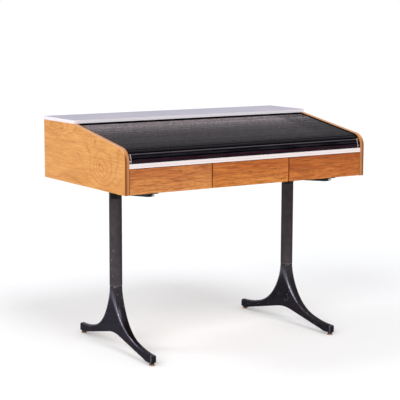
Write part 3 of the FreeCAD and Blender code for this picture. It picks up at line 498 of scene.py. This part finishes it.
def veneer(name, order, tones, pitch, wander, knots=(), lines=0.35, streaks=0.3, flecks=0.3, shift=0.0,
           deepen=None):
    """Figured veneer: a mottled ground with growth lines a pitch apart, and with streaks and short flecks
    along the grain. Order gives the axes along the grain, across it and through it, and deepen is two
    heights between which the colour sinks towards the ground tone."""
    pale, ground, dark = (tone(*shade) for shade in tones)
    material = finish(name, Specular_IOR_Level=0.15)
    place = place_on(material)
    grain = node(material, "CombineXYZ", {count: place[axis] for count, axis in enumerate(order)}).outputs[0]
    across = reckon(material, "DIVIDE", place[order[1]], pitch)
    line, core = growth_lines(material, grain, across, wander, knots, shift)
    cloud = ramp(material, noise(material, grain, (7, 22, 7), 4, shift + 2), 0.34, 0.66)
    band = ramp(material, noise(material, grain, (9, 120, 40), 4, shift + 7), 0.36, 0.64)
    mottle = reckon(material, "MULTIPLY", reckon(material, "ADD", cloud, band), 0.5)
    if deepen:
        sunk = ramp(material, place[2], *deepen, -0.35, 0.6)
        mottle = node(material, "Clamp", {0: reckon(material, "ADD", mottle, sunk)}).outputs[0]
    streak = ramp(material, noise(material, grain, (17, 200, 60), 6, shift), 0.48, 0.66)
    fleck = ramp(material, noise(material, grain, (46, 520, 100), 3, shift + 3), 0.54, 0.66)
    fibres = noise(material, grain, (40, 1400, 300), 3)
    colour = blend(material, mottle, pale, ground)
    for share, amount in ((line, lines), (streak, streaks), (fleck, flecks), (core, 1.0)):
        colour = blend(material, reckon(material, "MULTIPLY", share, amount), colour, dark)
    connect(material,
            Base_Color=blend(material, ramp(material, fibres, 0.35, 0.7, 0.0, 0.16), colour, dark),
            Roughness=ramp(material, fibres, 0.3, 0.7, 0.32, 0.5),
            Normal=relief(material, 0.22, 0.0001, reckon(material, "SUBTRACT", fibres, fleck)))
    return material


low, high = np.array(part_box("side_panel_left"))
PANEL_FOOT, PANEL_TOP = low[2], high[2]
PANEL_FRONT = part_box("panel_edge_left")[0][1]
SLOPE_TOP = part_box("shelf_edge_band")[0][1]
SLOPE = math.radians(9.6706)
CORNER_HEIGHT = PANEL_TOP - (SLOPE_TOP - PANEL_FRONT) * math.tan(SLOPE)
WRITING_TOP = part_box("writing_laminate")[1][2]
TRACK_WIDTH = 0.015
TRACK_DEPTH = 0.0065
TRACK_FADE = 0.0005
TRACK_TONE = (20, 18, 20)


def blacken_track(material, inner):
    """Blackens the curtain's track: the panel's inner face above the writing board, in a strip along the
    slope and the front, and the groove in it. Inner is the face's distance from the desk's middle."""
    place = place_on(material)
    slope_height = reckon(material, "MULTIPLY_ADD", place[1], math.tan(SLOPE),
                          PANEL_TOP - SLOPE_TOP * math.tan(SLOPE))
    under_edge = reckon(material, "MINIMUM",
                        reckon(material, "SUBTRACT", slope_height, place[2]),
                        reckon(material, "SUBTRACT", place[1], PANEL_FRONT))
    into_board = reckon(material, "SUBTRACT", reckon(material, "ABSOLUTE", place[0]), inner)
    share = ramp(material, under_edge, TRACK_WIDTH, TRACK_WIDTH - TRACK_FADE)
    for limit in (ramp(material, place[2], WRITING_TOP, WRITING_TOP + TRACK_FADE),
                  ramp(material, into_board, TRACK_DEPTH, TRACK_DEPTH - TRACK_FADE)):
        share = reckon(material, "MULTIPLY", share, limit)
    wood = material.node_tree.nodes["Principled BSDF"].inputs["Base Color"].links[0].from_socket
    connect(material, Base_Color=blend(material, share, wood, tone(*TRACK_TONE)))


HONEY = ((236, 172, 98), (214, 146, 72), (158, 74, 6))
LEFT_KNOTS = ((-0.1265, 0.7137, 0.030, 0.022, 1.3, 0.35), (-0.146, 0.694, 0.092, 0.066, 4.4, 0.0),
              (0.205, 0.830, 0.17, 0.045, 3.6, 0.0), (0.163, 0.824, 0.030, 0.010, 0.8, 0.5),
              (-0.094, 0.796, 0.020, 0.026, 0.8, 0.2))
RIGHT_KNOTS = ((0.08, 0.72, 0.09, 0.06, 4.0, 0.0), (-0.17, 0.665, 0.06, 0.03, 2.4, 0.2))
for side, knots, shift in (("left", LEFT_KNOTS, 5), ("right", RIGHT_KNOTS, 2)):
    panel_veneer = veneer(f"{side}_panel_veneer", (1, 2, 0), HONEY, 0.09, 2.2, knots, lines=0.5, streaks=0.2,
                          flecks=0.2, shift=shift)
    blacken_track(panel_veneer, min(abs(corner[0]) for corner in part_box(f"side_panel_{side}")))
    paint(panel_veneer, f"side_panel_{side}")

BAND_THICKNESS = 0.001
BAND_EASE = 0.0007
BAND_INNER_EASE = 0.0001
CORNER_RADIUS = 0.047
ARC_STEPS = 14


def rounded(corners, radii):
    """A closed outline, counterclockwise, and its outward normals. An arc stands in each corner: its
    centre lies on the corner's bisector, and its normals turn evenly from one side's to the next's."""
    corners = np.asarray(corners, float)
    radii = np.broadcast_to(radii, len(corners))[:, None]
    away = np.roll(corners, -1, 0) - corners
    away /= np.linalg.norm(away, axis=1)[:, None]
    leaving = np.column_stack([away[:, 1], -away[:, 0]])
    coming = np.roll(leaving, 1, 0)
    bend = np.arctan2(coming[:, 0] * leaving[:, 1] - coming[:, 1] * leaving[:, 0], (coming * leaving).sum(1))
    hand = np.sign(bend)[:, None]
    centre = corners - hand * radii * (coming + leaving) / (1 + np.cos(bend))[:, None]
    angle = np.arctan2(coming[:, 1], coming[:, 0])[:, None] + bend[:, None] * np.linspace(0, 1, ARC_STEPS)
    normals = np.stack([np.cos(angle), np.sin(angle)], -1)
    points = centre[:, None] + (hand * radii)[:, None] * normals
    return points.reshape(-1, 2), normals.reshape(-1, 2)


def strip(name, points, normals, section, axis, material):
    """A thin strip carried along an open run of points. Its section's first coordinate stands off the run
    along the normals, and its second lies along the axis."""
    rings = np.empty((len(points), len(section), 3))
    rings[..., axis] = section[:, 1]
    rings[..., [(axis + 1) % 3, (axis + 2) % 3]] = points[:, None] + section[None, :, :1] * normals[:, None]
    return skin(name, rings, material)


def graded(material, share, shades):
    """A row of colours at places from 0 to 1, each led evenly into the next."""
    stripes = node(material, "ValToRGB", {0: share})
    first, last = stripes.color_ramp.elements
    first.position, first.color = shades[0][0], tone(*shades[0][1])
    last.position, last.color = shades[-1][0], tone(*shades[-1][1])
    for position, shade in shades[1:-1]:
        stripes.color_ramp.elements.new(position).color = tone(*shade)
    return stripes.outputs[0]


# Ply tones of the slope and the front; the front's are painted darker, as painted shade.
SLOPE_PLIES = ((0.0, (206, 142, 90)), (0.26, (168, 104, 60)), (0.4, (228, 170, 118)), (0.66, (186, 122, 74)),
               (0.8, (236, 182, 128)))
FRONT_PLIES_IN_SHADE = ((0.0, (196, 130, 80)), (0.55, (188, 120, 68)), (0.64, (116, 68, 32)), (0.88, (124, 72, 34)),
               (1.0, (196, 130, 70)))
SLOPE_PLIES_END, FRONT_PLIES_START = PANEL_FRONT + 0.013, PANEL_FRONT + 0.0015
banding = finish("panel_banding", Specular_IOR_Level=0.15)
place = place_on(banding)
inner, outer = (corner[0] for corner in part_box("panel_edge_right"))
width = ramp(banding, reckon(banding, "ABSOLUTE", place[0]), inner, outer)
upright = ramp(banding, place[1], SLOPE_PLIES_END, FRONT_PLIES_START)
streaks = noise(banding, spot_on(banding), (420, 24, 24), 3)
# Painted shade: the banding's front takes darker ply tones than its slope.
edge = blend(banding, upright, graded(banding, width, SLOPE_PLIES), graded(banding, width, FRONT_PLIES_IN_SHADE))
connect(banding,
        Base_Color=blend(banding, ramp(banding, streaks, 0.4, 0.65, 0.0, 0.35), edge, tone(136, 80, 42)),
        Roughness=ramp(banding, streaks, 0.3, 0.7, 0.3, 0.5))
crest, corner, foot = (SLOPE_TOP, PANEL_TOP), (PANEL_FRONT, CORNER_HEIGHT), (PANEL_FRONT, PANEL_FOOT)
points, normals = (row[-ARC_STEPS:] for row in rounded([foot, crest, corner], [0, 0, CORNER_RADIUS]))
points = np.concatenate([[crest], points, [foot]])
normals = np.concatenate([normals[:1], normals, normals[-1:]])
for side in ("left", "right"):
    near, far = (corner[0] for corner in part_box(f"side_panel_{side}"))
    section, _ = rounded([(-BAND_THICKNESS, near), (0, near), (0, far), (-BAND_THICKNESS, far)],
                         [BAND_INNER_EASE, BAND_EASE, BAND_EASE, BAND_INNER_EASE])
    band = strip(f"{side}_panel_banding", points, normals, section, 0, banding)
    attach(band, "case")
    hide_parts(f"panel_edge_{side}")


# Case boards and backs ------------------------------------------------------------------
# A bottom board is let in between the panels, with a finished back behind it and, at the rear of the
# writing board, a low false back that hides the curtain's tail.
PLY_TONES = ((206, 172, 128), (190, 152, 106), (150, 108, 66))
BACK_KNOTS = ((0.2, 0.72, 0.14, 0.05, 3.0, 0.1),)
back_wood = veneer("back_veneer", (0, 2, 1), HONEY, 0.06, 2.6, BACK_KNOTS, streaks=0.14, flecks=0.12,
                   shift=4.0)
paint(back_wood, "back_panel", "false_back")
ply_core = veneer("ply_core", (0, 1, 2), PLY_TONES, 0.02, 2.0, lines=0.15)
paint(ply_core, "bottom_board", "shelf_board", "writing_board")


# Dividers, runners and stops ------------------------------------------------------------
# Two upright dividers of brown wood part the three drawers. These slide on strips of waxed pale wood,
# which are fixed in the case, and meet a stop block of the same wood behind.
DIVIDER_TONES = ((150, 92, 56), (128, 74, 42), (84, 44, 24))
WAXED_TONES = ((214, 176, 126), (196, 152, 100), (150, 104, 60))
paint(veneer("divider_wood", (1, 2, 0), DIVIDER_TONES, 0.02, 2.0), "drawer_dividers")
paint(veneer("waxed_wood", (1, 0, 2), WAXED_TONES, 0.015, 1.5), "drawer_runners", "drawer_stops")


# Drawers --------------------------------------------------------------------------------
# Three shallow drawers: a thick front in redder figured veneer with a finger groove along its foot,
# and behind it a box of pale boards round a plywood bottom.
FRONT_EASE, FRONT_REAR_EASE, FRONT_END_EASE = 0.0008, 0.0004, 0.0006
GROOVE_FROM, GROOVE_TO, GROOVE_HEIGHT = 0.004, 0.012, 0.008
GROOVE_LIP_EASE, GROOVE_EASE = 0.0005, 0.0015
BOX_TONES = ((222, 190, 146), (206, 168, 120), (160, 118, 74))
CHESTNUT_DARK = (96, 40, 14)
DRAWERS = {
    "left": {
        "tones": ((230, 154, 86), (194, 114, 60), CHESTNUT_DARK),
        "knots": ((-0.307, 0.698, 0.03, 0.016, 1.6, 0.4), (-0.215, 0.706, 0.04, 0.008, 0.8, 0.4)),
        "shift": 6,
    },
    "middle": {
        "tones": ((228, 146, 70), (192, 106, 48), CHESTNUT_DARK),
        "knots": ((-0.075, 0.632, 0.09, 0.022, 4.2, 0.1), (0.108, 0.646, 0.016, 0.010, 1.0, 0.6),
                  (0.045, 0.630, 0.04, 0.012, 1.6, 0.3)),
        "shift": 8,
    },
    "right": {
        "tones": ((214, 128, 60), (174, 90, 38), CHESTNUT_DARK),
        "knots": ((0.27, 0.64, 0.09, 0.03, 2.0, 0.1), (0.49, 0.63, 0.05, 0.02, 1.6, 0.1)),
        "shift": 7,
    },
}
box_wood = veneer("drawer_box_wood", (1, 2, 0), BOX_TONES, 0.02, 2.0, lines=0.15)
for side, plan in DRAWERS.items():
    low, high = np.array(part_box(f"drawer_front_{side}"))
    groove_front, groove_back, groove_top = low[1] + GROOVE_FROM, low[1] + GROOVE_TO, low[2] + GROOVE_HEIGHT
    section = rounded([(low[1], low[2]), (groove_front, low[2]), (groove_front, groove_top),
                       (groove_back, groove_top), (groove_back, low[2]), (high[1], low[2]),
                       (high[1], high[2]), (low[1], high[2])],
                      [FRONT_EASE, GROOVE_LIP_EASE, GROOVE_EASE, GROOVE_EASE, GROOVE_LIP_EASE,
                       FRONT_REAR_EASE, FRONT_REAR_EASE, FRONT_EASE])
    figure = veneer(f"{side}_drawer_veneer", (0, 2, 1), plan["tones"], 0.022, 2.6, plan["knots"], lines=0.34,
                    streaks=0.44, flecks=0.46, shift=plan["shift"], deepen=(low[2], high[2]))
    front = board(f"{side}_drawer_front", section, low[0], high[0], 0, FRONT_END_EASE, figure)
    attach(front, f"drawer_{side}")
    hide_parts(f"drawer_front_{side}")
    paint(box_wood, f"drawer_box_{side}", f"drawer_bottom_{side}")


# Writing surface ------------------------------------------------------------------------
# The board under the tambour wears white laminate, and its front edge a white band with the thin grey
# line of the glue in its middle.
GLUE_TONE = (120, 104, 108)
GLUE_HEIGHT, GLUE_HALF, RIM_GLUE_HALF = 0.0075, 0.0014, 0.0007
WRITING_EASE, WRITING_END_EASE = 0.0003, 0.0002
white_laminate = finish("white_laminate", Roughness=0.32, Specular_IOR_Level=0.45)
cloud = noise(white_laminate, spot_on(white_laminate), 7, 5)
connect(white_laminate, Base_Color=blend(white_laminate, cloud, tone(240, 233, 232), tone(226, 217, 218)))
paint(white_laminate, "writing_laminate")


def lined_band(name, pale, shade, glue_lines, strength):
    """White banding, faintly cloudy, with thin grey glue lines, each given as (height, half its width)."""
    material = finish(name, Roughness=0.3, Specular_IOR_Level=0.5)
    height = place_on(material)[2]
    colour = blend(material, noise(material, spot_on(material), 12, 4), tone(*pale), tone(*shade))
    for level, half_width in glue_lines:
        off = reckon(material, "ABSOLUTE", reckon(material, "SUBTRACT", height, level))
        line = ramp(material, off, half_width, 0.0, 0.0, strength)
        colour = blend(material, line, colour, tone(*GLUE_TONE))
    connect(material, Base_Color=colour)
    return material


low, high = np.array(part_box("writing_edge_band"))
writing_band = lined_band("writing_band_white", (244, 233, 230), (234, 220, 219),
                          [(low[2] + GLUE_HEIGHT, GLUE_HALF), (high[2], RIM_GLUE_HALF)], 0.4)
section = rounded([(low[1], low[2]), (high[1], low[2]), (high[1], high[2]), (low[1], high[2])], WRITING_EASE)
band = board("writing_band", section, low[0], high[0], 0, WRITING_END_EASE, writing_band)
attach(band, "case")
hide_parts("writing_edge_band")


# Tambour --------------------------------------------------------------------------------
# The curtain is a row of thin crowned slats glued to canvas, lacquered black with the wood's pores left
# open. It runs up the slope and under the shelf, and when it is opened also down inside the back.
SLAT_PITCH = 0.011
FIRST_SLAT = -0.26405
RUN_FOOT, RUN_HEAD = -0.285, 0.07
# Painted sheen that lightens up the run, a painted highlight line, and painted shade under the shelf.
RUN_SHEEN_AND_SHADE = ((0.0, (20, 18, 22)), (0.05, (22, 20, 24)), (0.1, (42, 39, 44)), (0.22, (60, 56, 60)),
             (0.55, (80, 75, 79)), (0.84, (158, 148, 152)), (0.949, (174, 161, 165)), (0.965, (24, 21, 23)),
             (1.0, (16, 14, 16)))
# Painted shade towards the curtain's right end.
RIGHT_SHADE_START, RIGHT_SHADE_FULL = 0.36, 0.39
# Painted shade along the curtain's ends, beside the side panels.
END_SHADE_START, END_SHADE_FULL = 0.500, 0.510
lacquer = finish("tambour_lacquer", Specular_IOR_Level=0.06)
spot = spot_on(lacquer)
place = place_on(lacquer)
count = reckon(lacquer, "DIVIDE", reckon(lacquer, "SUBTRACT", place[1], FIRST_SLAT),
               SLAT_PITCH * math.cos(SLOPE))
slat = reckon(lacquer, "FLOOR", count)
# Painted sheen, highlight and shade along the run, from the rail up to the shelf.
run_sheen_and_shade = graded(lacquer, ramp(lacquer, place[1], RUN_FOOT, RUN_HEAD), RUN_SHEEN_AND_SHADE)
grits = ramp(lacquer, noise(lacquer, spot, (210, 260, 260), 3), 0.38, 0.62)
chance = node(lacquer, "TexWhiteNoise", {"W": slat}, noise_dimensions="1D").outputs["Value"]
sheen = ramp(lacquer, noise(lacquer, spot, (2.5, 55, 55), 3), 0.36, 0.64)
along_slat = node(lacquer, "CombineXYZ", {0: place[0], 1: slat}).outputs[0]
beads = ramp(lacquer, noise(lacquer, along_slat, (120, 3.7, 1), 1), 0.42, 0.58)
# Painted shade in the gaps between slats: each slat is lighter over its crown.
crown = ramp(lacquer, reckon(lacquer, "PINGPONG", count, 0.5), 0.04, 0.3)
lightness = reckon(lacquer, "MULTIPLY", grits, 0.1)
for share, amount in ((chance, 0.4), (sheen, 0.08), (beads, 0.26), (crown, 0.16)):
    lightness = reckon(lacquer, "ADD", lightness, reckon(lacquer, "MULTIPLY", share, amount))
# Painted shade: the curtain darkens towards its right end.
painted_right_shade = ramp(lacquer, place[0], RIGHT_SHADE_START, RIGHT_SHADE_FULL, 0.0, 0.22)
# Painted shade: the curtain's ends darken beside the side panels.
painted_end_shade = ramp(lacquer, reckon(lacquer, "ABSOLUTE", place[0]), END_SHADE_START, END_SHADE_FULL, 0.0, 0.75)
darkness = reckon(lacquer, "ADD", ramp(lacquer, lightness, 1.0, 0.0, 0.0, 0.95),
                  reckon(lacquer, "MAXIMUM", painted_right_shade, painted_end_shade))
connect(lacquer,
        Base_Color=blend(lacquer, darkness, run_sheen_and_shade, tone(18, 16, 20)),
        Roughness=ramp(lacquer, grits, 0, 1, 0.32, 0.5),
        Normal=relief(lacquer, 0.2, 0.0002, grits))
paint(lacquer, "lead_slat", "second_slat", "nose_slat_upper", "nose_slat_lower", "slats_front_run",
      "slats_turn_upper", "slats_turn_lower", "slats_rear_run", "slats_tail")


# Lift rail ------------------------------------------------------------------------------
# The curtain ends in a black moulded rail with a lip and a finger groove, with a painted dark red
# reflection along its foot. A thin bright plate shuts each end, with a pin that reaches towards the side
# panel.
# Height and widths of the dark red reflection painted along the rail's foot.
RED_REFLECTION_HEIGHT, RED_REFLECTION_HALF, RED_REFLECTION_CORE = 0.7415, 0.0045, 0.002
# Heights of the highlight painted along the top of the lip.
LIP_HIGHLIGHT_START, LIP_HIGHLIGHT_FULL = 0.7640, 0.7652
RAIL_THICKNESS = 0.007
RAIL_FOOT_EASE, RAIL_FOOT_REAR_EASE, RAIL_REAR_EASE, RAIL_END_EASE = 0.0008, 0.0004, 0.0006, 0.0003
# The lip and the finger groove, from the top down, as (in from the face, down from the top, rounding).
RAIL_MOULDING = ((0.0084, 0.0, 0.0018), (0.0052, 0.005, 0.0012), (0.008, 0.0085, 0.0012),
                 (0.008, 0.0155, 0.0012), (0.0005, 0.019, 0.0016))
rail_black = finish("rail_lacquer", Metallic=1.0, Specular_Tint=(0.3, 0.3, 0.32, 1))
height = place_on(rail_black)[2]
rub = ramp(rail_black, noise(rail_black, spot_on(rail_black), (14, 90, 90), 5), 0.35, 0.65)
colour = blend(rail_black, rub, tone(22, 19, 25), tone(42, 38, 44))
# Painted highlight: a pale line along the top of the lip.
lip_highlight = ramp(rail_black, height, LIP_HIGHLIGHT_START, LIP_HIGHLIGHT_FULL, 0.0, 0.3)
colour = blend(rail_black, lip_highlight, colour, tone(150, 144, 150))
# Painted reflection: a dark red band along the rail's foot.
off_red_reflection = reckon(rail_black, "ABSOLUTE", reckon(rail_black, "SUBTRACT", height, RED_REFLECTION_HEIGHT))
red = ramp(rail_black, off_red_reflection, RED_REFLECTION_HALF, RED_REFLECTION_CORE, 0.0, 0.5)
colour = blend(rail_black, red, colour, tone(58, 12, 26))
connect(rail_black, Base_Color=colour, Roughness=ramp(rail_black, rub, 0, 1, 0.16, 0.3))
low, high = np.array(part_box("lift_rail"))
face, foot, back, top = low[1], low[2], high[1], high[2]
section = rounded([(face, foot), (face + RAIL_THICKNESS, foot), (back, top)]
                  + [(face + depth, top - drop) for depth, drop, _ in RAIL_MOULDING],
                  [RAIL_FOOT_EASE, RAIL_FOOT_REAR_EASE, RAIL_REAR_EASE]
                  + [rounding for _, _, rounding in RAIL_MOULDING])
rail = board("tambour_lift_rail", section, low[0], high[0], 0, RAIL_END_EASE, rail_black)
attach(rail, "tambour_rail")
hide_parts("lift_rail")
cap_metal = metal("cap_metal", 0.9, 260, 3, (232, 230, 236), (176, 172, 180), (0.3, 0.5))
paint(cap_metal, "lift_rail_caps")


# Shelf ----------------------------------------------------------------------------------
# The top shelf lies across both panels: a board under lavender-grey laminate, with a white band round
# its rim and small round corners at the front.
SHELF_CORNER, SHELF_REAR_CORNER = 0.005, 0.001
SHELF_GLUE_HEIGHT, SHELF_GLUE_HALF = 0.0045, 0.001
LAMINATE_EASE, SHELF_BAND_EASE = 0.0003, 0.0005
RIM_DEPTH = 0.0002
low, high = np.array(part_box("shelf_laminate"))
plan = rounded([(low[0], low[1]), (high[0], low[1]), (high[0], high[1]), (low[0], high[1])],
               [SHELF_CORNER, SHELF_CORNER, SHELF_REAR_CORNER, SHELF_REAR_CORNER])
grey_laminate = finish("shelf_laminate", Specular_IOR_Level=0.15)
spot = spot_on(grey_laminate)
cloud = node(grey_laminate, "TexNoise",
             {"Vector": spot, "Scale": 5, "Detail": 6, "Roughness": 0.6}).outputs[0]
flecks = noise(grey_laminate, spot, 700, 2)
colour = blend(grey_laminate, cloud, tone(181, 177, 192), tone(168, 164, 181))
colour = blend(grey_laminate, reckon(grey_laminate, "MULTIPLY", flecks, 0.12), colour, tone(130, 126, 144))
on_rim = reckon(grey_laminate, "LESS_THAN", place_on(grey_laminate)[2], high[2] - RIM_DEPTH)
connect(grey_laminate,
        Base_Color=blend(grey_laminate, on_rim, colour, tone(240, 233, 240)),
        Roughness=ramp(grey_laminate, cloud, 0, 1, 0.38, 0.55))
laminate = board("shelf_top_laminate", plan, low[2], high[2], 2, LAMINATE_EASE, grey_laminate)
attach(laminate, "case")
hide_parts("shelf_laminate")

band_foot, band_top = (corner[2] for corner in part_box("shelf_edge_band"))
shelf_band = lined_band("shelf_band_white", (246, 240, 246), (236, 230, 237),
                        [(band_foot + SHELF_GLUE_HEIGHT, SHELF_GLUE_HALF)], 0.2)
points, normals = (row[:2 * ARC_STEPS] for row in plan)
points = np.concatenate([[[low[0], high[1]]], points, [[high[0], high[1]]]])
normals = np.concatenate([[[-1, 0]], normals, [[1, 0]]])
section, _ = rounded([(-BAND_THICKNESS, band_foot), (0, band_foot), (0, band_top),
                      (-BAND_THICKNESS, band_top)],
                     [BAND_INNER_EASE, SHELF_BAND_EASE, BAND_INNER_EASE, BAND_INNER_EASE])
band = strip("shelf_band", points, normals, section, 2, shelf_band)
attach(band, "case")
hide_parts("shelf_edge_band")
